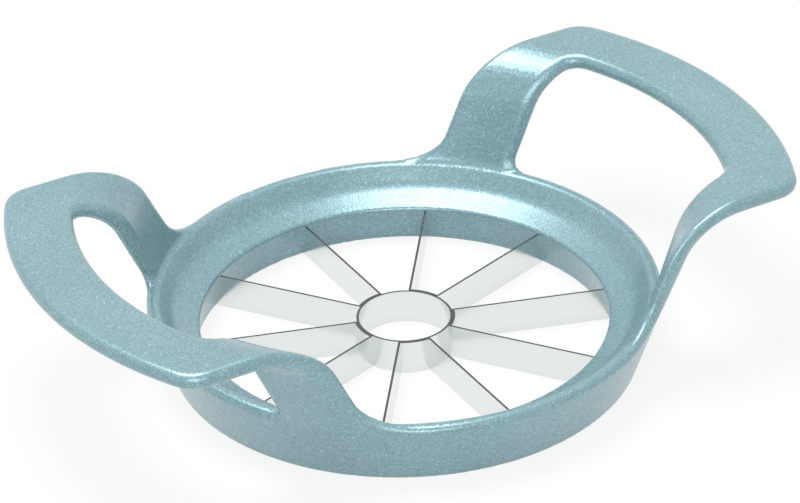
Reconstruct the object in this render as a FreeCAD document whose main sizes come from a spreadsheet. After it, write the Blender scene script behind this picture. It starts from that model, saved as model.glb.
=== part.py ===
import FreeCAD, Part
import Sketcher
import math
import os

# Hand divider for round fruit: a cast ring with two raised grips, a strip ring at
# the centre for the core, and five V-bent blade strips that make ten cutting edges.
# Origin: centre of the ring on the surface it stands on. X runs through both grips.

os.makedirs("parts", exist_ok=True)
doc = FreeCAD.newDocument("fruit_divider")

# Lengths in millimetres, angles in degrees
sizes = {
    # ring section, as radius and height
    "wall_foot_r": 50.0,
    "rim_outer_r": 55.1,
    "rim_inner_r": 52.2,
    "rim_height": 15.0,
    "dish_r": 49.0,
    "dish_height": 10.8,
    "lip_r": 43.5,
    "lip_height": 8.4,
    "bore_r": 45.0,
    "rim_round": 1.4,
    "dish_round": 3.0,
    "lip_round": 0.7,
    "foot_round": 0.8,
    # brim that the two handles are cut from, as radius and height
    "brim_root_r": 50.6,
    "brim_root_top": 8.5,
    "brim_root_low": 5.0,
    "brim_foot_r": 51.3,
    "brim_bend_r": 60.4,
    "brim_under_r": 63.1,
    "grip_height": 39.4,
    "grip_depth": 3.5,
    "grip_outer_r": 82.8,
    "bend_top_round": 14.6,
    "bend_low_round": 11.3,
    # plan of the handles
    "handle_half": 42.7,
    "trim_r": 52.6,
    "valley_round": 9.0,
    "grip_corner_round": 7.0,
    "window_half": 30.0,
    "window_outer_r": 68.5,
    "window_inner_r": 52.5,
    "window_outer_round": 4.5,
    "window_inner_round": 3.0,
    "edge_top_round": 0.8,
    "edge_window_round": 0.5,
    "edge_low_round": 0.6,
    # cutting parts
    "core_outer_r": 10.3,
    "strip_depth": 0.5,
    "blade_height": 7.5,
    "blade_end_r": 45.9,
    "blade_half_angle": 18.0,
    "blade_pitch": 72.0,
    "blade_corner": 1.3,
    # clearances
    "slot_side_gap": 0.05,
    "slot_top_gap": 0.10,
}

sheet = doc.addObject("Spreadsheet::Sheet", "Sizes")
for row, (name, value) in enumerate(sizes.items(), start=1):
    sheet.set("A%d" % row, name)
    sheet.set("B%d" % row, str(value))
    sheet.setAlias("B%d" % row, name)
doc.recompute()


def size(name):
    return float(sheet.get(name))


def plane_of(body, role):
    for feature in body.Origin.OriginFeatures:
        if feature.Role == role:
            return feature
    raise RuntimeError("no origin plane " + role)


def new_body(name):
    body = doc.addObject("PartDesign::Body", name)
    body.Label = name
    return body


def new_sketch(body, role, name):
    sketch = body.newObject("Sketcher::SketchObject", name)
    sketch.AttachmentSupport = [(plane_of(body, role), "")]
    sketch.MapMode = "FlatFace"
    return sketch


def bind(sketch, index, name, expression):
    sketch.renameConstraint(index, name)
    sketch.setExpression("Constraints." + name, expression)


def closed_polygon(sketch, corners):
    # Each corner is a pair of expressions for its two coordinates.
    count = len(corners)
    ring = []
    for k in range(count):
        turn = 2 * math.pi * k / count
        ring.append(FreeCAD.Vector(60 + 20 * math.cos(turn), 30 + 20 * math.sin(turn), 0))
    for k in range(count):
        sketch.addGeometry(Part.LineSegment(ring[k], ring[(k + 1) % count]), False)
    for k in range(count):
        sketch.addConstraint(Sketcher.Constraint("Coincident", k, 2, (k + 1) % count, 1))
    for k, (across, along) in enumerate(corners):
        index = sketch.addConstraint(Sketcher.Constraint("DistanceX", -1, 1, k, 1, ring[k].x))
        bind(sketch, index, "across%d" % k, across)
        index = sketch.addConstraint(Sketcher.Constraint("DistanceY", -1, 1, k, 1, ring[k].y))
        bind(sketch, index, "along%d" % k, along)
    doc.recompute()


def revolve(body, sketch, name):
    feature = body.newObject("PartDesign::Revolution", name)
    feature.Profile = sketch
    feature.ReferenceAxis = (sketch, ["V_Axis"])
    feature.Angle = 360.0
    doc.recompute()
    return feature


def cut_through(body, sketch, name):
    feature = body.newObject("PartDesign::Pocket", name)
    feature.Profile = sketch
    feature.Type = "ThroughAll"
    feature.Midplane = True
    doc.recompute()
    return feature


def polar(body, original, name, count):
    feature = body.newObject("PartDesign::PolarPattern", name)
    feature.Originals = [original]
    feature.Axis = (original.Profile[0], ["N_Axis"])
    feature.Angle = 360.0
    feature.Occurrences = count
    body.Tip = feature
    doc.recompute()
    return feature


def edges_where(shape, test):
    return ["Edge%d" % (k + 1) for k, edge in enumerate(shape.Edges) if test(edge)]


def round_edges(body, base, test, name, radius):
    names = edges_where(base.Shape, test)
    if not names:
        raise RuntimeError("no edge found for " + name)
    feature = body.newObject("PartDesign::Fillet", name)
    feature.Base = (base, names)
    feature.setExpression("Radius", radius)
    doc.recompute()
    return feature


def circle_at(radius, height):
    def test(edge):
        if not isinstance(edge.Curve, Part.Circle):
            return False
        centre = edge.Curve.Center
        same = abs(edge.Curve.Radius - radius) < 0.01
        return same and abs(centre.z - height) < 0.01 and math.hypot(centre.x, centre.y) < 0.01
    return test


def upright_at(radius, beyond=True):
    # Straight upright edges outside or inside a given radius
    def test(edge):
        first = edge.Vertexes[0].Point
        last = edge.Vertexes[-1].Point
        if not isinstance(edge.Curve, Part.Line):
            return False
        if math.hypot(first.x - last.x, first.y - last.y) > 0.001:
            return False
        reach = math.hypot(first.x, first.y)
        return reach > radius if beyond else reach < radius
    return test


# Ring: sloping outer wall, rounded rim, dished top falling to a thin lip, and a bore
# with a little draft that opens downwards.
ring = new_body("ring_form")
ring_section = new_sketch(ring, "XZ_Plane", "ring_section")
closed_polygon(ring_section, [
    ("Sizes.bore_r", "0 mm"),
    ("Sizes.wall_foot_r", "0 mm"),
    ("Sizes.rim_outer_r", "Sizes.rim_height"),
    ("Sizes.rim_inner_r", "Sizes.rim_height"),
    ("Sizes.dish_r", "Sizes.dish_height"),
    ("Sizes.lip_r", "Sizes.lip_height"),
])
ring_turn = revolve(ring, ring_section, "ring_turn")
ring_rim = round_edges(
    ring, ring_turn,
    lambda edge: circle_at(size("rim_outer_r"), size("rim_height"))(edge)
    or circle_at(size("rim_inner_r"), size("rim_height"))(edge),
    "ring_rim", "Sizes.rim_round")
ring_dish = round_edges(
    ring, ring_rim, circle_at(size("dish_r"), size("dish_height")),
    "ring_dish", "Sizes.dish_round")
ring_lip = round_edges(
    ring, ring_dish, circle_at(size("lip_r"), size("lip_height")),
    "ring_lip", "Sizes.lip_round")
ring_foot = round_edges(
    ring, ring_lip,
    lambda edge: circle_at(size("bore_r"), 0)(edge) or circle_at(size("wall_foot_r"), 0)(edge),
    "ring_foot", "Sizes.foot_round")

# Ten slots in the bore that take the ends of the blades, open at the bottom
slot_plan = new_sketch(ring, "YZ_Plane", "slot_plan")
closed_polygon(slot_plan, [
    ("Sizes.lip_r - 2", "-1 mm"),
    ("Sizes.blade_end_r", "-1 mm"),
    ("Sizes.blade_end_r", "Sizes.blade_height + Sizes.slot_top_gap"),
    ("Sizes.lip_r - 2", "Sizes.blade_height + Sizes.slot_top_gap"),
])
slot = ring.newObject("PartDesign::Pocket", "slot")
slot.Profile = slot_plan
slot.Midplane = True
slot.setExpression("Length", "Sizes.strip_depth + 2 * Sizes.slot_side_gap")
doc.recompute()
slots = ring.newObject("PartDesign::PolarPattern", "slots")
slots.Originals = [slot]
slots.Axis = (slot_plan, ["V_Axis"])
slots.Angle = 360.0
slots.Occurrences = 10
ring.Tip = slots
doc.recompute()

# Handles: both are cut from one turned brim that flares out of the ring wall, climbs
# steeply and bends over into a level grip.
handles = new_body("handle_form")
brim_section = new_sketch(handles, "YZ_Plane", "brim_section")
closed_polygon(brim_section, [
    ("Sizes.brim_root_r", "Sizes.brim_root_low"),
    ("Sizes.brim_foot_r", "Sizes.brim_root_low"),
    ("Sizes.brim_under_r", "Sizes.grip_height - Sizes.grip_depth"),
    ("Sizes.grip_outer_r", "Sizes.grip_height - Sizes.grip_depth"),
    ("Sizes.grip_outer_r", "Sizes.grip_height"),
    ("Sizes.brim_bend_r", "Sizes.grip_height"),
    ("Sizes.brim_root_r", "Sizes.brim_root_top"),
])
brim = revolve(handles, brim_section, "brim")
brim_top = round_edges(
    handles, brim, circle_at(size("brim_bend_r"), size("grip_height")),
    "brim_top_bend", "Sizes.bend_top_round")
brim_low = round_edges(
    handles, brim_top, circle_at(size("brim_under_r"), size("grip_height") - size("grip_depth")),
    "brim_low_bend", "Sizes.bend_low_round")

# The sides of the handles are straight and run into the ring with a hollow curve.
side_plan = new_sketch(handles, "XY_Plane", "side_plan")
half = size("handle_half")
hollow = size("valley_round")
trim = size("trim_r")
far = size("grip_outer_r") + 10
hollow_x = math.sqrt((trim + hollow) ** 2 - (half + hollow) ** 2)
touch_x = hollow_x * trim / (trim + hollow)
touch_y = (half + hollow) * trim / (trim + hollow)
up = FreeCAD.Vector(0, 0, 1)


def arc_between(centre, radius, first, last):
    start = math.atan2(first.y - centre.y, first.x - centre.x)
    end = math.atan2(last.y - centre.y, last.x - centre.x)
    return Part.ArcOfCircle(Part.Circle(centre, up, radius), start, end)


right_centre = FreeCAD.Vector(hollow_x, half + hollow, 0)
left_centre = FreeCAD.Vector(-hollow_x, half + hollow, 0)
right_low = FreeCAD.Vector(hollow_x, half, 0)
left_low = FreeCAD.Vector(-hollow_x, half, 0)
right_touch = FreeCAD.Vector(touch_x, touch_y, 0)
left_touch = FreeCAD.Vector(-touch_x, touch_y, 0)
zero = FreeCAD.Vector(0, 0, 0)
side_plan.addGeometry([
    Part.LineSegment(right_low, FreeCAD.Vector(far, half, 0)),
    Part.LineSegment(FreeCAD.Vector(far, half, 0), FreeCAD.Vector(far, far, 0)),
    Part.LineSegment(FreeCAD.Vector(far, far, 0), FreeCAD.Vector(-far, far, 0)),
    Part.LineSegment(FreeCAD.Vector(-far, far, 0), FreeCAD.Vector(-far, half, 0)),
    Part.LineSegment(FreeCAD.Vector(-far, half, 0), left_low),
    arc_between(left_centre, hollow, left_low, left_touch),
    arc_between(zero, trim, right_touch, left_touch),
    arc_between(right_centre, hollow, right_touch, right_low),
], False)
side_plan.addConstraint([
    Sketcher.Constraint("Coincident", 0, 2, 1, 1),
    Sketcher.Constraint("Coincident", 1, 2, 2, 1),
    Sketcher.Constraint("Coincident", 2, 2, 3, 1),
    Sketcher.Constraint("Coincident", 3, 2, 4, 1),
    Sketcher.Constraint("Tangent", 4, 2, 5, 1),
    Sketcher.Constraint("Tangent", 5, 2, 6, 2),
    Sketcher.Constraint("Tangent", 6, 1, 7, 1),
    Sketcher.Constraint("Tangent", 7, 2, 0, 1),
    Sketcher.Constraint("Horizontal", 0),
    Sketcher.Constraint("Vertical", 1),
    Sketcher.Constraint("Horizontal", 2),
    Sketcher.Constraint("Vertical", 3),
    Sketcher.Constraint("Horizontal", 4),
    Sketcher.Constraint("Coincident", 6, 3, -1, 1),
    Sketcher.Constraint("Equal", 5, 7),
])
for label, kind, first, value, expression in [
    ("side", "DistanceY", (-1, 1, 0, 2), half, "Sizes.handle_half"),
    ("side_left", "DistanceY", (-1, 1, 4, 1), half, "Sizes.handle_half"),
    ("far_x", "DistanceX", (-1, 1, 1, 2), far, "Sizes.grip_outer_r + 10"),
    ("far_y", "DistanceY", (-1, 1, 1, 2), far, "Sizes.grip_outer_r + 10"),
    ("far_left", "DistanceX", (3, 1, -1, 1), far, "Sizes.grip_outer_r + 10"),
    ("hollow", "Radius", (7,), hollow, "Sizes.valley_round"),
    ("trim", "Radius", (6,), trim, "Sizes.trim_r"),
]:
    index = side_plan.addConstraint(Sketcher.Constraint(kind, *first, value))
    bind(side_plan, index, label, expression)
doc.recompute()
side_cut = cut_through(handles, side_plan, "side_cut")
sides = polar(handles, side_cut, "sides", 2)
corners = round_edges(
    handles, sides, upright_at(size("grip_outer_r") - 1), "grip_corners",
    "Sizes.grip_corner_round")

# One window in each handle between the ring and the grip
window_plan = new_sketch(handles, "XY_Plane", "window_plan")
open_half = size("window_half")
outer = size("window_outer_r")
inner = size("window_inner_r")
outer_x = math.sqrt(outer ** 2 - open_half ** 2)
bend = size("window_inner_round")
bend_x = math.sqrt((inner + bend) ** 2 - (open_half - bend) ** 2)
meet_x = bend_x * inner / (inner + bend)
meet_y = (open_half - bend) * inner / (inner + bend)
window_plan.addGeometry([
    Part.LineSegment(FreeCAD.Vector(bend_x, -open_half, 0), FreeCAD.Vector(outer_x, -open_half, 0)),
    arc_between(zero, outer, FreeCAD.Vector(outer_x, -open_half, 0),
                FreeCAD.Vector(outer_x, open_half, 0)),
    Part.LineSegment(FreeCAD.Vector(outer_x, open_half, 0), FreeCAD.Vector(bend_x, open_half, 0)),
    arc_between(FreeCAD.Vector(bend_x, open_half - bend, 0), bend,
                FreeCAD.Vector(bend_x, open_half, 0), FreeCAD.Vector(meet_x, meet_y, 0)),
    arc_between(zero, inner, FreeCAD.Vector(meet_x, -meet_y, 0),
                FreeCAD.Vector(meet_x, meet_y, 0)),
    arc_between(FreeCAD.Vector(bend_x, bend - open_half, 0), bend,
                FreeCAD.Vector(meet_x, -meet_y, 0), FreeCAD.Vector(bend_x, -open_half, 0)),
], False)
window_plan.addConstraint([
    Sketcher.Constraint("Coincident", 0, 2, 1, 1),
    Sketcher.Constraint("Coincident", 1, 2, 2, 1),
    Sketcher.Constraint("Tangent", 2, 2, 3, 1),
    Sketcher.Constraint("Tangent", 3, 2, 4, 2),
    Sketcher.Constraint("Tangent", 4, 1, 5, 1),
    Sketcher.Constraint("Tangent", 5, 2, 0, 1),
    Sketcher.Constraint("Coincident", 1, 3, -1, 1),
    Sketcher.Constraint("Coincident", 4, 3, -1, 1),
    Sketcher.Constraint("Horizontal", 0),
    Sketcher.Constraint("Horizontal", 2),
    Sketcher.Constraint("Equal", 3, 5),
])
for label, kind, first, value, expression in [
    ("low_side", "DistanceY", (0, 1, -1, 1), open_half, "Sizes.window_half"),
    ("high_side", "DistanceY", (-1, 1, 2, 1), open_half, "Sizes.window_half"),
    ("outer", "Radius", (1,), outer, "Sizes.window_outer_r"),
    ("inner", "Radius", (4,), inner, "Sizes.window_inner_r"),
    ("bend", "Radius", (3,), bend, "Sizes.window_inner_round"),
]:
    index = window_plan.addConstraint(Sketcher.Constraint(kind, *first, value))
    bind(window_plan, index, label, expression)
doc.recompute()
window = cut_through(handles, window_plan, "window")
windows = polar(handles, window, "windows", 2)


def window_corner(low, high):
    def test(edge):
        if not upright_at(low)(edge):
            return False
        point = edge.Vertexes[0].Point
        inside = math.hypot(point.x, point.y) < high
        return inside and abs(abs(point.y) - size("window_half")) < 0.01
    return test


window_far = round_edges(
    handles, windows, window_corner(size("window_outer_r") - 1, size("window_outer_r") + 1),
    "window_outer_corners", "Sizes.window_outer_round")

def rim_edges(shape, top, in_window):
    # Edges where an upright side meets the upper or the lower face of the brim
    names = []
    for k, edge in enumerate(shape.Edges):
        middle = edge.valueAt((edge.FirstParameter + edge.LastParameter) / 2)
        reach = math.hypot(middle.x, middle.y)
        if reach < size("trim_r") + 0.1:
            continue
        in_gap = abs(middle.y) < size("window_half") + 1 and reach < size("window_outer_r") + 1
        if in_gap != in_window:
            continue
        slopes = []
        for face in shape.ancestorsOfType(edge, Part.Face):
            u, v = face.Surface.parameter(middle)
            slopes.append(face.normalAt(u, v).z)
        upright = [z for z in slopes if abs(z) < 0.001]
        facing = [z for z in slopes if (z > 0.05 if top else z < -0.05)]
        if len(upright) == 1 and len(facing) == 1:
            names.append("Edge%d" % (k + 1))
    return names


last = window_far
for name, top, in_window, radius in [
    ("lower_edges", False, False, "Sizes.edge_low_round"),
    ("window_lower_edges", False, True, "Sizes.edge_window_round"),
    ("upper_edges", True, False, "Sizes.edge_top_round"),
    ("window_upper_edges", True, True, "Sizes.edge_window_round"),
]:
    rounding = handles.newObject("PartDesign::Fillet", name)
    rounding.Base = (last, rim_edges(last.Shape, top, in_window))
    rounding.setExpression("Radius", radius)
    doc.recompute()
    last = rounding

# The casting is one piece of metal.
casting = doc.addObject("Part::Fuse", "frame_casting")
casting.Base = ring
casting.Tool = handles
casting.Refine = True
doc.recompute()

# Core ring: a strip bent round and closed
core = new_body("core_ring")
core_plan = new_sketch(core, "XY_Plane", "core_plan")
for k, (name, expression) in enumerate([
    ("outside", "Sizes.core_outer_r"),
    ("inside", "Sizes.core_outer_r - Sizes.strip_depth"),
]):
    core_plan.addGeometry(Part.Circle(zero, up, 10.0 - k), False)
    core_plan.addConstraint(Sketcher.Constraint("Coincident", k, 3, -1, 1))
    index = core_plan.addConstraint(Sketcher.Constraint("Radius", k, 10.0 - k))
    bind(core_plan, index, name, expression)
core_pad = core.newObject("PartDesign::Pad", "core_pad")
core_pad.Profile = core_plan
core_pad.setExpression("Length", "Sizes.blade_height")
doc.recompute()

# Blade strips: each is one strip bent to two legs that lie on rays from the centre,
# joined by a short curve that hugs the core ring.
lean = math.radians(size("blade_half_angle"))
strip = size("strip_depth")
core_r = size("core_outer_r")
end_r = size("blade_end_r")


def leg_point(reach, offset, side):
    x = reach * math.cos(lean) - offset * math.sin(lean)
    y = reach * math.sin(lean) + offset * math.cos(lean)
    return FreeCAD.Vector(x, side * y, 0)


def leg_expressions(reach, offset, side):
    angle = "Sizes.blade_half_angle * 1 deg"
    x = "(%s) * cos(%s) - (%s) * sin(%s)" % (reach, angle, offset, angle)
    y = "%d * ((%s) * sin(%s) + (%s) * cos(%s))" % (side, reach, angle, offset, angle)
    return x, y


strips = []
for number in range(1, 6):
    body = new_body("blade_strip_%d" % number)
    plan = new_sketch(body, "XY_Plane", "strip_plan_%d" % number)
    out_in = math.sqrt(core_r ** 2 - (strip / 2) ** 2)
    in_in = math.sqrt((core_r + strip) ** 2 - (strip / 2) ** 2)
    a = leg_point(end_r, strip / 2, 1)
    b = leg_point(out_in, strip / 2, 1)
    c = leg_point(out_in, strip / 2, -1)
    d = leg_point(end_r, strip / 2, -1)
    e = leg_point(end_r, -strip / 2, -1)
    f = leg_point(in_in, -strip / 2, -1)
    g = leg_point(in_in, -strip / 2, 1)
    i = leg_point(end_r, -strip / 2, 1)
    plan.addGeometry([
        Part.LineSegment(a, b),
        arc_between(zero, core_r, c, b),
        Part.LineSegment(c, d),
        Part.LineSegment(d, e),
        Part.LineSegment(e, f),
        arc_between(zero, core_r + strip, f, g),
        Part.LineSegment(g, i),
        Part.LineSegment(i, a),
    ], False)
    plan.addConstraint([
        Sketcher.Constraint("Coincident", 0, 2, 1, 2),
        Sketcher.Constraint("Coincident", 1, 1, 2, 1),
        Sketcher.Constraint("Coincident", 2, 2, 3, 1),
        Sketcher.Constraint("Coincident", 3, 2, 4, 1),
        Sketcher.Constraint("Coincident", 4, 2, 5, 1),
        Sketcher.Constraint("Coincident", 5, 2, 6, 1),
        Sketcher.Constraint("Coincident", 6, 2, 7, 1),
        Sketcher.Constraint("Coincident", 7, 2, 0, 1),
        Sketcher.Constraint("Coincident", 1, 3, -1, 1),
        Sketcher.Constraint("Coincident", 5, 3, -1, 1),
    ])
    root = "sqrt(Sizes.core_outer_r ^ 2 - (Sizes.strip_depth / 2) ^ 2)"
    crown = "sqrt((Sizes.core_outer_r + Sizes.strip_depth) ^ 2 - (Sizes.strip_depth / 2) ^ 2)"
    plus = "Sizes.strip_depth / 2"
    minus = "0 - Sizes.strip_depth / 2"
    for label, line, point, spot, reach, offset, side in [
        ("a", 0, 1, a, "Sizes.blade_end_r", plus, 1),
        ("b", 0, 2, b, root, plus, 1),
        ("c", 2, 1, c, root, plus, -1),
        ("d", 2, 2, d, "Sizes.blade_end_r", plus, -1),
        ("e", 4, 1, e, "Sizes.blade_end_r", minus, -1),
        ("f", 4, 2, f, crown, minus, -1),
        ("g", 6, 1, g, crown, minus, 1),
        ("i", 6, 2, i, "Sizes.blade_end_r", minus, 1),
    ]:
        across, along = leg_expressions(reach, offset, side)
        if label not in ("c", "f"):
            # those two lie where the curve about the centre puts them
            index = plan.addConstraint(
                Sketcher.Constraint("DistanceX", -1, 1, line, point, spot.x))
            bind(plan, index, "x_" + label, across)
        index = plan.addConstraint(Sketcher.Constraint("DistanceY", -1, 1, line, point, spot.y))
        bind(plan, index, "y_" + label, along)
    doc.recompute()
    pad = body.newObject("PartDesign::Pad", "strip_pad_%d" % number)
    pad.Profile = plan
    pad.setExpression("Length", "Sizes.blade_height")
    doc.recompute()
    # the upper outer corner of each leg is taken off
    corner_names = edges_where(
        pad.Shape,
        lambda edge: edge.BoundBox.ZMin > size("blade_height") - 0.01
        and edge.Length < 2 * strip
        and math.hypot(edge.Vertexes[0].Point.x, edge.Vertexes[0].Point.y) > end_r - 1)
    corner = body.newObject("PartDesign::Fillet", "strip_corner_%d" % number)
    corner.Base = (pad, corner_names)
    corner.setExpression("Radius", "Sizes.blade_corner")
    doc.recompute()
    body.setExpression(
        "Placement.Rotation.Angle",
        "(Sizes.blade_pitch * %d + Sizes.blade_pitch / 2) * 1 deg" % (number - 1))
    doc.recompute()
    strips.append(body)

doc.recompute()

nodes = [("frame_casting", casting), ("core_ring", core)]
nodes += [(body.Label, body) for body in strips]

for thing in doc.Objects:
    if "Invalid" in thing.State or "Error" in thing.State:
        raise RuntimeError("%s is %s" % (thing.Name, thing.State))
for name, thing in nodes:
    shape = thing.Shape
    if shape.isNull() or not shape.isValid():
        raise RuntimeError(name + " has no valid shape")
    if len(shape.Solids) != 1:
        raise RuntimeError(name + " is not one solid")
for name, thing in nodes:
    thing.Shape.exportStep("parts/%s.step" % name)
    box = thing.Shape.BoundBox
    print(name, round(thing.Shape.Volume, 1), round(box.XLength, 2), round(box.YLength, 2),
          round(box.ZMin, 3), round(box.ZMax, 3))
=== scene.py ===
import math

import bmesh
import bpy
import numpy as np
from mathutils import Matrix


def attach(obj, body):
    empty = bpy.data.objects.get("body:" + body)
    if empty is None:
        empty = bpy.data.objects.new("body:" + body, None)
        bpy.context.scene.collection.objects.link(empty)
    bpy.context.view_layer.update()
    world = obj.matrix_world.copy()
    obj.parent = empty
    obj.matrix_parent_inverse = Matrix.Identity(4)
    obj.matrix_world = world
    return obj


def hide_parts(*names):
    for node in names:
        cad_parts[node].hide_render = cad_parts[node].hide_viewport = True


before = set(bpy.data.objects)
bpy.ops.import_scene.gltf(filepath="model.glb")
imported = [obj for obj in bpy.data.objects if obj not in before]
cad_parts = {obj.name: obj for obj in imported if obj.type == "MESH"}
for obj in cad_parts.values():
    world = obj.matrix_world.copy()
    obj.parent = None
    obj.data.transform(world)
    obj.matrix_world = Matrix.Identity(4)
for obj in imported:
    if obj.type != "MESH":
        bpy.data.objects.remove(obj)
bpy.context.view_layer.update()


def newMaterial(name):
    material = bpy.data.materials.new(name)
    material.use_nodes = True
    material.node_tree.nodes.clear()
    return material, material.node_tree.nodes, material.node_tree.links


def setInputs(node, values):
    for name, value in values.items():
        node.inputs[name].default_value = value


def addRamp(nodes, stops):
    # a colour ramp from pairs of position and colour
    ramp = nodes.new("ShaderNodeValToRGB")
    elements = ramp.color_ramp.elements
    while len(elements) < len(stops):
        elements.new(0.5)
    for element, (position, colour) in zip(elements, stops):
        element.position = position
        element.color = (*colour, 1.0)
    return ramp


# Satin metallic lacquer of the casting
lacquer = {
    "shade": (0.235, 0.392, 0.432),
    "deep": (0.205, 0.355, 0.395),
    "flakeDark": 0.72,
    "flakePlain": 0.98,
    "flakePlainAt": 0.55,
    "flakeRising": 1.06,
    "flakeRisingAt": 0.92,
    "flakeBright": 1.6,
    "flakesPerMetre": 4200.0,
    "cloudsPerMetre": 45.0,
    "deepAt": 0.3,
    "shadeAt": 0.7,
    "metallic": 0.38,
    "roughness": 0.31,
    "smootherBy": 0.06,
    "rougherBy": 0.10,
    "coat": 0.55,
    "coatRoughness": 0.27,
    "peel": 0.10,
    "peelPerMetre": 1400.0,
    "peelDepth": 0.0003,
}


def makeLacquer(look):
    material, nodes, links = newMaterial("silverBlueLacquer")
    place = nodes.new("ShaderNodeTexCoord")
    flakes = nodes.new("ShaderNodeTexVoronoi")
    setInputs(flakes, {"Scale": look["flakesPerMetre"]})
    links.new(place.outputs["Object"], flakes.inputs["Vector"])
    flakeTone = nodes.new("ShaderNodeSeparateColor")
    links.new(flakes.outputs["Color"], flakeTone.inputs["Color"])
    flakeRamp = addRamp(nodes, [
        (0.0, (look["flakeDark"],) * 3),
        (look["flakePlainAt"], (look["flakePlain"],) * 3),
        (look["flakeRisingAt"], (look["flakeRising"],) * 3),
        (1.0, (look["flakeBright"],) * 3),
    ])
    links.new(flakeTone.outputs["Red"], flakeRamp.inputs["Fac"])
    clouds = nodes.new("ShaderNodeTexNoise")
    setInputs(clouds, {"Scale": look["cloudsPerMetre"], "Detail": 3.0, "Roughness": 0.6})
    links.new(place.outputs["Object"], clouds.inputs["Vector"])
    tone = addRamp(nodes, [(look["deepAt"], look["deep"]), (look["shadeAt"], look["shade"])])
    links.new(clouds.outputs["Fac"], tone.inputs["Fac"])
    paint = nodes.new("ShaderNodeMix")
    paint.data_type = "RGBA"
    paint.blend_type = "MULTIPLY"
    paint.inputs["Factor"].default_value = 1.0
    links.new(tone.outputs["Color"], paint.inputs["A"])
    links.new(flakeRamp.outputs["Color"], paint.inputs["B"])
    gloss = nodes.new("ShaderNodeMapRange")
    setInputs(gloss, {
        "To Min": look["roughness"] - look["smootherBy"],
        "To Max": look["roughness"] + look["rougherBy"],
    })
    links.new(flakeTone.outputs["Green"], gloss.inputs["Value"])
    peel = nodes.new("ShaderNodeTexNoise")
    setInputs(peel, {"Scale": look["peelPerMetre"], "Detail": 2.0, "Roughness": 0.5})
    links.new(place.outputs["Object"], peel.inputs["Vector"])
    bump = nodes.new("ShaderNodeBump")
    setInputs(bump, {"Strength": look["peel"], "Distance": look["peelDepth"]})
    links.new(peel.outputs["Fac"], bump.inputs["Height"])
    shader = nodes.new("ShaderNodeBsdfPrincipled")
    setInputs(shader, {
        "Metallic": look["metallic"],
        "Coat Weight": look["coat"],
        "Coat Roughness": look["coatRoughness"],
    })
    links.new(paint.outputs["Result"], shader.inputs["Base Color"])
    links.new(gloss.outputs["Result"], shader.inputs["Roughness"])
    links.new(bump.outputs["Normal"], shader.inputs["Normal"])
    output = nodes.new("ShaderNodeOutputMaterial")
    links.new(shader.outputs["BSDF"], output.inputs["Surface"])
    return material


# Polished stainless strip. The faces that look up or down are its sheared edges: they get a
# near-black colour as painted shade, and a rougher finish
bladeSteel = {
    "face": (0.80, 0.83, 0.81),
    # painted shade: the near-black colour put on the up- and down-facing faces
    "edge": (0.10, 0.11, 0.11),
    "paintedShadeAndRoughStarts": 0.5,
    "paintedShadeAndRoughFull": 0.8,
    "roughness": 0.17,
    "edgeRoughness": 0.38,
    "grain": (60.0, 60.0, 2600.0),
    "grainStrength": 0.05,
    "grainDepth": 0.0002,
}


def makeBladeSteel(look):
    material, nodes, links = newMaterial("polishedStrip")
    place = nodes.new("ShaderNodeTexCoord")
    stretch = nodes.new("ShaderNodeMapping")
    setInputs(stretch, {"Scale": look["grain"]})
    links.new(place.outputs["Object"], stretch.inputs["Vector"])
    grain = nodes.new("ShaderNodeTexNoise")
    setInputs(grain, {"Scale": 1.0, "Detail": 3.0, "Roughness": 0.6})
    links.new(stretch.outputs["Vector"], grain.inputs["Vector"])
    # a face that looks up or down is a sheared edge, and gets the painted shade colour and the
    # rougher finish
    shape = nodes.new("ShaderNodeNewGeometry")
    parts = nodes.new("ShaderNodeSeparateXYZ")
    links.new(shape.outputs["True Normal"], parts.inputs["Vector"])
    level = nodes.new("ShaderNodeMath")
    level.operation = "ABSOLUTE"
    links.new(parts.outputs["Z"], level.inputs[0])
    edge = nodes.new("ShaderNodeMapRange")
    setInputs(edge, {"From Min": look["paintedShadeAndRoughStarts"], "From Max": look["paintedShadeAndRoughFull"]})
    links.new(level.outputs["Value"], edge.inputs["Value"])
    # painted shade: the mask mixes the near-black colour into the steel's colour
    colour = nodes.new("ShaderNodeMix")
    colour.data_type = "RGBA"
    setInputs(colour, {"A": (*look["face"], 1.0), "B": (*look["edge"], 1.0)})
    links.new(edge.outputs["Result"], colour.inputs["Factor"])
    gloss = nodes.new("ShaderNodeMix")
    setInputs(gloss, {"A": look["roughness"], "B": look["edgeRoughness"]})
    links.new(edge.outputs["Result"], gloss.inputs["Factor"])
    bump = nodes.new("ShaderNodeBump")
    setInputs(bump, {"Strength": look["grainStrength"], "Distance": look["grainDepth"]})
    links.new(grain.outputs["Fac"], bump.inputs["Height"])
    shader = nodes.new("ShaderNodeBsdfPrincipled")
    setInputs(shader, {"Metallic": 1.0})
    links.new(colour.outputs["Result"], shader.inputs["Base Color"])
    links.new(gloss.outputs["Result"], shader.inputs["Roughness"])
    links.new(bump.outputs["Normal"], shader.inputs["Normal"])
    output = nodes.new("ShaderNodeOutputMaterial")
    links.new(shader.outputs["BSDF"], output.inputs["Surface"])
    return material


castingPaint = makeLacquer(lacquer)
stripSteel = makeBladeSteel(bladeSteel)


def dress(nodeName, material):
    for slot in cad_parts[nodeName].material_slots:
        slot.material = material


for stripName in ["core_ring"] + ["blade_strip_%d" % number for number in range(1, 6)]:
    dress(stripName, stripSteel)
print("strips dressed")

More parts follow.
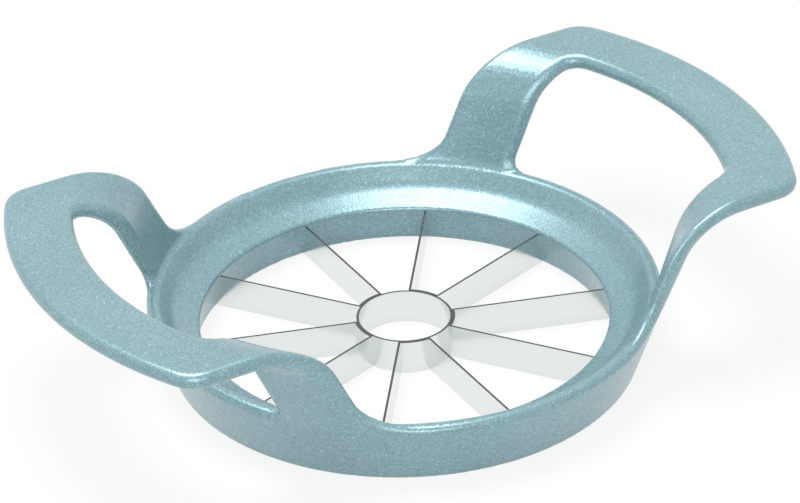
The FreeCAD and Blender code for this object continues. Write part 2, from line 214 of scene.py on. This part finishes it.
# Cast frame, in millimetres: a turned ring and two handles cut from a turned brim.
# ring and brim are corners in radius and height, each with the radius of its rounding.
castFrame = {
    "ring": [
        (45.0, 0.0, 0.8), (50.0, 0.0, 0.8), (55.1, 15.0, 1.4),
        (52.2, 15.0, 1.7), (49.0, 10.8, 6.0), (43.5, 8.4, 0.9),
    ],
    "brim": [
        (50.2, 5.0, 0.0), (51.3, 5.0, 0.0), (63.1, 35.9, 11.3), (90.0, 35.9, 0.0),
        (90.0, 39.4, 0.0), (60.4, 39.4, 14.6), (50.2, 7.24, 0.0),
    ],
    "gripReach": 82.8,
    "gripCorner": 7.0,
    "handleHalf": 42.7,
    "windowReach": 68.5,
    "windowCorner": 4.5,
    "windowHalf": 30.0,
    "windowRoot": 34.0,
    "edgeRound": 1.6,
    "crest": 14.9,
    "outerFillet": 6.0,
    "windowFillet": 3.0,
    "creaseFillet": 2.0,
    "creaseRise": 3,
    "handleFromX": 9,
    "handleFromRadius": 49,
    "farAway": 50.0,
    "cell": 0.66,
    "ringSteps": 256,
    "roughPasses": 3,
    "finePasses": 6,
    "evenShare": 0.6,
    "leastSlope": 0.2,
    "longestMove": 1.0,
    "flareFoot": (52.1, 54.2),
    "flareLean": (0.317, 0.38),
    "flareSunk": 2,
    "flareOverlap": 3,
    "flareUnder": 0.4,
    "flareRows": 14,
}
mm = 0.001
cornerSteps = 14
slopeStep = 0.01
blockSize = 8000


def arcPoints(centre, radius, startAngle, endAngle, count):
    # centre + radius (cos t, sin t), with t from the first angle to the last
    turn = np.linspace(startAngle, endAngle, count)
    return np.stack([centre[0] + radius * np.cos(turn), centre[1] + radius * np.sin(turn)], 1)


def roundedLoop(corners):
    # each corner is cut back by radius x tan(half the turn) along both sides and an arc put in
    pieces = []
    for k, (x, y, radius) in enumerate(corners):
        here = np.array([x, y])
        if radius == 0:
            pieces.append(here[None])
            continue
        before = np.array(corners[k - 1][:2]) - here
        after = np.array(corners[(k + 1) % len(corners)][:2]) - here
        before = before / np.linalg.norm(before)
        after = after / np.linalg.norm(after)
        halfOpen = math.acos(np.dot(before, after)) / 2
        middle = (before + after) / np.linalg.norm(before + after)
        centre = here + middle * radius / math.sin(halfOpen)
        first = here + before * radius / math.tan(halfOpen) - centre
        last = here + after * radius / math.tan(halfOpen) - centre
        start = math.atan2(first[1], first[0])
        sweep = math.atan2(
            first[0] * last[1] - first[1] * last[0], np.dot(first, last))
        pieces.append(arcPoints(centre, radius, start, start + sweep, cornerSteps))
    return np.concatenate(pieces)


def planOutline(half, reach, corner, root, arcSteps, roundSteps):
    # outer arc, rounded corner and straight side in to the root; then the mirror image.
    # The corner's centre lies at reach - corner from the axis and half - corner to the side.
    cornerX = math.sqrt((reach - corner) ** 2 - (half - corner) ** 2)
    cornerAngle = math.atan2(half - corner, cornerX)
    upper = np.concatenate([
        arcPoints((0, 0), reach, 0.0, cornerAngle, arcSteps)[:-1],
        arcPoints((cornerX, half - corner), corner, cornerAngle, math.pi / 2, roundSteps),
        np.array([[root, half], [root, 0.0]]),
    ])
    lower = upper[::-1][1:-1] * (1, -1)
    return np.concatenate([upper, lower])


def signedDistance(points, loop):
    # least distance to the sides of a closed loop, negative where a ray crosses it an odd
    # number of times
    side = np.roll(loop, -1, axis=0) - loop
    length = (side ** 2).sum(1)
    result = np.empty(len(points))
    for start in range(0, len(points), blockSize):
        block = points[start:start + blockSize]
        dx = block[:, 0, None] - loop[:, 0]
        dy = block[:, 1, None] - loop[:, 1]
        along = np.clip((dx * side[:, 0] + dy * side[:, 1]) / length, 0, 1)
        gapX = dx - along * side[:, 0]
        gapY = dy - along * side[:, 1]
        nearest = np.sqrt((gapX ** 2 + gapY ** 2).min(1))
        crosses = (dy < 0) != (dy < side[:, 1])
        safe = np.where(side[:, 1] == 0, 1e-9, side[:, 1])
        toTheRight = dx < dy / safe * side[:, 0]
        inside = (crosses & toTheRight).sum(1) % 2 == 1
        result[start:start + blockSize] = np.where(inside, -nearest, nearest)
    return result


def joinedHollow(first, second, radius):
    # two solids as one with a hollow fillet: max(k, min(a, b)) - |max((k - a, k - b), 0)|
    reach = np.hypot(np.maximum(radius - first, 0), np.maximum(radius - second, 0))
    return np.maximum(radius, np.minimum(first, second)) - reach


def castingParts(points, loops, look):
    # ring: distance in radius and height. Handle: the brim's distance a and the plan's
    # distance b meet in a rounded edge, min(max(a, b) + e, 0) + |max((a, b) + e, 0)| - e.
    # The plan's sides spread in a hollow curve down to the crest of the rim.
    reach = np.hypot(points[:, 0], points[:, 1])
    section = np.stack([reach, points[:, 2]], 1)
    plan = np.stack([np.abs(points[:, 0]), points[:, 1]], 1)
    ring = signedDistance(section, loops["ring"])
    handle = np.full(len(points), look["farAway"])
    near = (plan[:, 0] > look["handleFromX"]) & (reach > look["handleFromRadius"])
    section = section[near]
    plan = plan[near]
    above = section[:, 1] - look["crest"]
    edge = look["edgeRound"]
    across = signedDistance(section, loops["brim"]) + edge
    outline = joinedHollow(signedDistance(plan, loops["handle"]), above, look["outerFillet"])
    window = joinedHollow(-signedDistance(plan, loops["window"]), above, look["windowFillet"])
    along = np.maximum(outline, window) + edge
    corner = np.hypot(np.maximum(across, 0), np.maximum(along, 0))
    handle[near] = np.minimum(np.maximum(across, along), 0) + corner - edge
    return ring, handle


def castingField(points, loops, look):
    # ring and handle joined as above, with
    # k = share x fillet x (1 - cos(turn / 2)) / (1 - cos 45)
    # for the turn between the two faces, so faces that run on into each other get no bulge.
    # The share goes from nought, a little below the crest, to one at the crest and above.
    ring, handle = castingParts(points, loops, look)
    slopes = []
    for axis in range(3):
        moved = points.copy()
        moved[:, axis] += slopeStep
        nextRing, nextHandle = castingParts(moved, loops, look)
        slopes.append(((nextRing - ring) / slopeStep, (nextHandle - handle) / slopeStep))
    ringSlope = np.stack([slope[0] for slope in slopes], 1)
    handleSlope = np.stack([slope[1] for slope in slopes], 1)
    handleSlope[handle > look["farAway"] - 1] = 0
    together = np.clip((ringSlope * handleSlope).sum(1), -1, 1)
    halfTurnCosine = np.sqrt((1 + together) / 2)
    low = look["crest"] - look["creaseRise"]
    raised = np.clip((points[:, 2] - low) / (look["crest"] - low), 0, 1)
    reach = raised * look["creaseFillet"] * (1 - halfTurnCosine) / (1 - math.sqrt(0.5))
    reach = np.maximum(reach, 1e-6)
    ringShare = np.maximum(reach - ring, 0)
    handleShare = np.maximum(reach - handle, 0)
    length = np.hypot(ringShare, handleShare)
    blended = (ring < reach) & (handle < reach)
    field = np.where(blended, reach - length, np.minimum(ring, handle))
    length = np.where(length == 0, 1, length)
    mixed = ringShare[:, None] * ringSlope + handleShare[:, None] * handleSlope
    mixed = mixed / length[:, None]
    nearer = np.where((ring < handle)[:, None], ringSlope, handleSlope)
    slope = np.where(blended[:, None], mixed, nearer)
    return field, slope


def turnedRing(loop, count):
    # the section carried round: (r cos t, r sin t, z)
    turn = np.linspace(0, 2 * math.pi, count, endpoint=False)
    x = np.outer(np.cos(turn), loop[:, 0])
    y = np.outer(np.sin(turn), loop[:, 0])
    z = np.tile(loop[:, 1], (count, 1))
    points = np.stack([x, y, z], 2).reshape(-1, 3)
    wide = len(loop)
    row, column = np.meshgrid(np.arange(count), np.arange(wide), indexing="ij")
    nextRow = (row + 1) % count
    nextColumn = (column + 1) % wide
    faces = np.stack([
        row * wide + column, nextRow * wide + column,
        nextRow * wide + nextColumn, row * wide + nextColumn,
    ], 2).reshape(-1, 4)
    return points, faces


def flarePieces(look):
    # rough filling under each hollow curve: over an angle t the side runs out to
    # y = side + k (1 - cos t) while the top comes down to z = crest + k (1 - sin t)
    fillet = look["outerFillet"]
    count = look["flareRows"]
    base = look["crest"] - look["flareSunk"]
    angle = np.linspace(0, math.pi / 2, count)
    side = look["handleHalf"] + fillet * (1 - np.cos(angle))
    side[0] -= look["flareOverlap"]
    top = look["crest"] + fillet * (1 - np.sin(angle)) - look["flareUnder"]
    bottom = np.full(count, base)
    footIn, footOut = look["flareFoot"]
    leanIn, leanOut = look["flareLean"]
    rims = []
    for reach, lean, level in [
        (footIn, leanIn, bottom), (footOut, leanOut, bottom),
        (footOut, leanOut, top), (footIn, leanIn, top),
    ]:
        radius = reach + (level - base) * lean
        rims.append(np.stack([np.sqrt(radius ** 2 - side ** 2), side, level], 1))
    points = np.stack(rims, 1).reshape(-1, 3)
    row = np.repeat(np.arange(count - 1), 4) * 4
    column = np.tile(np.arange(4), count - 1)
    after = (column + 1) % 4
    faces = np.stack([row + column, row + after, row + 4 + after, row + 4 + column], 1)
    ends = np.array([[3, 2, 1, 0], [0, 1, 2, 3]])
    ends[1] += 4 * (count - 1)
    faces = np.concatenate([faces, ends])
    # four copies by mirroring; an odd number of mirrors turns the faces inside out
    allPoints = []
    allFaces = []
    for k, turn in enumerate([(1, 1, 1), (-1, 1, 1), (-1, -1, 1), (1, -1, 1)]):
        allPoints.append(points * turn)
        allFaces.append((faces if k % 2 else faces[:, ::-1]) + k * len(points))
    return np.concatenate(allPoints), np.concatenate(allFaces)


def evenGrid(piece, mesh, cell):
    # an even net of four-sided faces over the mesh
    piece.data = mesh
    grid = piece.modifiers.new("evenGrid", "REMESH")
    grid.mode = "VOXEL"
    grid.voxel_size = cell
    evaluated = piece.evaluated_get(bpy.context.evaluated_depsgraph_get())
    result = bpy.data.meshes.new_from_object(evaluated)
    piece.modifiers.clear()
    piece.data = result
    bpy.data.meshes.remove(mesh)
    return result


def fitToField(mesh, loops, look, passes, settled):
    # even the net out along the surface, then move each point by field / |slope| along the
    # slope; the last passes only move
    points = np.empty(len(mesh.vertices) * 3)
    mesh.vertices.foreach_get("co", points)
    points = points.reshape(-1, 3) / mm
    edges = np.empty(len(mesh.edges) * 2, dtype=int)
    mesh.edges.foreach_get("vertices", edges)
    edges = edges.reshape(-1, 2)
    ends = np.concatenate([edges, edges[:, ::-1]])
    neighbours = np.bincount(ends[:, 0], minlength=len(points))[:, None]
    for turnNumber in range(passes):
        if turnNumber < passes - settled:
            sums = np.stack([
                np.bincount(ends[:, 0], points[ends[:, 1], axis], minlength=len(points))
                for axis in range(3)
            ], 1)
            points = points + look["evenShare"] * (sums / neighbours - points)
        field, slope = castingField(points, loops, look)
        size = np.maximum((slope ** 2).sum(1), look["leastSlope"])
        move = np.clip(field / size, -look["longestMove"], look["longestMove"])
        points = points - move[:, None] * slope
    points[:, 2] = np.maximum(points[:, 2], 0)
    mesh.vertices.foreach_set("co", (points * mm).ravel())
    mesh.update()
    print("fitted", len(points), "points, 99 of 100 within",
          float(np.percentile(np.abs(field), 99)), "mm, worst", float(np.abs(field).max()))
    return slope


def makeCastFrame(look):
    loops = {
        "ring": roundedLoop(look["ring"]),
        "brim": roundedLoop(look["brim"]),
        "handle": planOutline(
            look["handleHalf"], look["gripReach"], look["gripCorner"],
            root=0.0, arcSteps=24, roundSteps=12),
        "window": planOutline(
            look["windowHalf"], look["windowReach"], look["windowCorner"],
            root=look["windowRoot"], arcSteps=16, roundSteps=10),
    }
    # start from a copy of the CAD casting with the turned ring and the flares laid over it
    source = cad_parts["frame_casting"].data
    cadPoints = np.empty(len(source.vertices) * 3)
    source.vertices.foreach_get("co", cadPoints)
    cadPoints = cadPoints.reshape(-1, 3)
    cadFaces = np.empty(len(source.loops), dtype=int)
    source.loops.foreach_get("vertex_index", cadFaces)
    ringPoints, ringFaces = turnedRing(loops["ring"], look["ringSteps"])
    flarePoints, flareFaces = flarePieces(look)
    added = len(cadPoints) + len(ringPoints)
    rough = bpy.data.meshes.new("castRough")
    rough.from_pydata(
        np.concatenate([cadPoints, ringPoints * mm, flarePoints * mm]).tolist(), [],
        cadFaces.reshape(-1, 3).tolist() + (ringFaces + len(cadPoints)).tolist()
        + (flareFaces + added).tolist())
    work = bmesh.new()
    work.from_mesh(rough)
    bmesh.ops.remove_doubles(work, verts=work.verts, dist=1e-6)
    work.to_mesh(rough)
    work.free()
    piece = bpy.data.objects.new("castFrame", rough)
    bpy.context.scene.collection.objects.link(piece)
    mesh = evenGrid(piece, rough, look["cell"] * mm)
    fitToField(mesh, loops, look, look["roughPasses"], 1)
    mesh = evenGrid(piece, mesh, look["cell"] * mm)
    slope = fitToField(mesh, loops, look, look["finePasses"], 2)
    mesh.name = "castFrame"
    mesh.polygons.foreach_set("use_smooth", np.ones(len(mesh.polygons), dtype=bool))
    slope = slope / np.linalg.norm(slope, axis=1)[:, None]
    mesh.normals_split_custom_set_from_vertices(slope.tolist())
    mesh.materials.clear()
    mesh.materials.append(castingPaint)
    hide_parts("frame_casting")
    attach(piece, "root")


makeCastFrame(castFrame)
print("cast frame ready")

# Floor, lamps and the world
studio = {
    "floorSize": 4.0,
    "floorColour": (0.86, 0.86, 0.86),
    "floorWhite": 0.86,
    "worldColour": (0.97, 0.985, 1.0),
    "worldLight": 0.45,
    "topLamp": {"power": 12.0, "size": 0.8, "place": (-0.09, 0.24, 1.22)},
    "frontLamp": {"power": 5.0, "size": 0.8, "place": (-0.55, -0.95, 0.45)},
}


def seenWhite(nodes, links):
    # one for camera, glossy and transmission rays, nought for the rest
    path = nodes.new("ShaderNodeLightPath")
    first = nodes.new("ShaderNodeMath")
    first.operation = "ADD"
    links.new(path.outputs["Is Camera Ray"], first.inputs[0])
    links.new(path.outputs["Is Glossy Ray"], first.inputs[1])
    second = nodes.new("ShaderNodeMath")
    second.operation = "ADD"
    second.use_clamp = True
    links.new(first.outputs["Value"], second.inputs[0])
    links.new(path.outputs["Is Transmission Ray"], second.inputs[1])
    return second.outputs["Value"]


def makeFloor(look):
    half = look["floorSize"] / 2
    corners = [(-half, -half, 0), (half, -half, 0), (half, half, 0), (-half, half, 0)]
    mesh = bpy.data.meshes.new("floor")
    mesh.from_pydata(corners, [], [(0, 1, 2, 3)])
    floor = bpy.data.objects.new("floor", mesh)
    bpy.context.scene.collection.objects.link(floor)
    material, nodes, links = newMaterial("paleFloor")
    matt = nodes.new("ShaderNodeBsdfDiffuse")
    setInputs(matt, {"Color": (*look["floorColour"], 1.0)})
    white = nodes.new("ShaderNodeEmission")
    setInputs(white, {"Color": (1, 1, 1, 1), "Strength": 1.0})
    share = nodes.new("ShaderNodeMath")
    share.operation = "MULTIPLY"
    share.inputs[1].default_value = look["floorWhite"]
    links.new(seenWhite(nodes, links), share.inputs[0])
    blend = nodes.new("ShaderNodeMixShader")
    links.new(share.outputs["Value"], blend.inputs["Fac"])
    links.new(matt.outputs["BSDF"], blend.inputs[1])
    links.new(white.outputs["Emission"], blend.inputs[2])
    output = nodes.new("ShaderNodeOutputMaterial")
    links.new(blend.outputs["Shader"], output.inputs["Surface"])
    floor.data.materials.append(material)


def makeWorld(look):
    world = bpy.data.worlds.new("paleRoom")
    bpy.context.scene.world = world
    world.use_nodes = True
    nodes = world.node_tree.nodes
    links = world.node_tree.links
    nodes.clear()
    light = nodes.new("ShaderNodeBackground")
    setInputs(light, {"Color": (*look["worldColour"], 1.0), "Strength": look["worldLight"]})
    white = nodes.new("ShaderNodeBackground")
    setInputs(white, {"Color": (1, 1, 1, 1), "Strength": 1.0})
    blend = nodes.new("ShaderNodeMixShader")
    links.new(seenWhite(nodes, links), blend.inputs["Fac"])
    links.new(light.outputs["Background"], blend.inputs[1])
    links.new(white.outputs["Background"], blend.inputs[2])
    output = nodes.new("ShaderNodeOutputWorld")
    links.new(blend.outputs["Shader"], output.inputs["Surface"])


def makeLamp(name, look):
    data = bpy.data.lights.new(name, "AREA")
    data.shape = "DISK"
    data.size = look["size"]
    data.energy = look["power"]
    lamp = bpy.data.objects.new(name, data)
    bpy.context.scene.collection.objects.link(lamp)
    # a lamp shines along its own -Z, so Z points away from the origin
    away = np.array(look["place"])
    back = away / np.linalg.norm(away)
    side = np.cross((0, 0, 1), back)
    side = side / np.linalg.norm(side)
    top = np.cross(back, side)
    turn = Matrix((side, top, back)).transposed()
    lamp.matrix_world = Matrix.Translation(look["place"]) @ turn.to_4x4()


makeFloor(studio)
makeWorld(studio)
makeLamp("topLamp", studio["topLamp"])
makeLamp("frontLamp", studio["frontLamp"])
print("floor and lamps ready")

# Camera, from a fit of the ring, the blades and the grips to the picture
shot = {
    "place": (-0.320677, -0.577073, 0.422517),
    "azimuth": 29.0112,
    "down": 31.1456,
    "roll": -1.6920,
    "focalPixels": 3656.61,
    "imageWidth": 800,
    "sensorWidth": 36.0,
}


def makeCamera(look):
    # forward = (cos down sin azimuth, cos down cos azimuth, -sin down), right is level and
    # up is right x forward; both are then turned about forward by the roll
    azimuth = math.radians(look["azimuth"])
    down = math.radians(look["down"])
    roll = math.radians(look["roll"])
    forward = np.array([
        math.cos(down) * math.sin(azimuth),
        math.cos(down) * math.cos(azimuth),
        -math.sin(down),
    ])
    level = np.array([math.cos(azimuth), -math.sin(azimuth), 0.0])
    raised = np.cross(level, forward)
    right = math.cos(roll) * level + math.sin(roll) * raised
    top = -math.sin(roll) * level + math.cos(roll) * raised
    data = bpy.data.cameras.new("camera")
    data.sensor_fit = "HORIZONTAL"
    data.sensor_width = look["sensorWidth"]
    data.lens = look["focalPixels"] * data.sensor_width / look["imageWidth"]
    camera = bpy.data.objects.new("camera", data)
    bpy.context.scene.collection.objects.link(camera)
    turn = Matrix((right, top, -forward)).transposed()
    camera.matrix_world = Matrix.Translation(look["place"]) @ turn.to_4x4()
    bpy.context.scene.camera = camera


makeCamera(shot)
bpy.context.scene.view_settings.view_transform = "Standard"
print("camera ready")
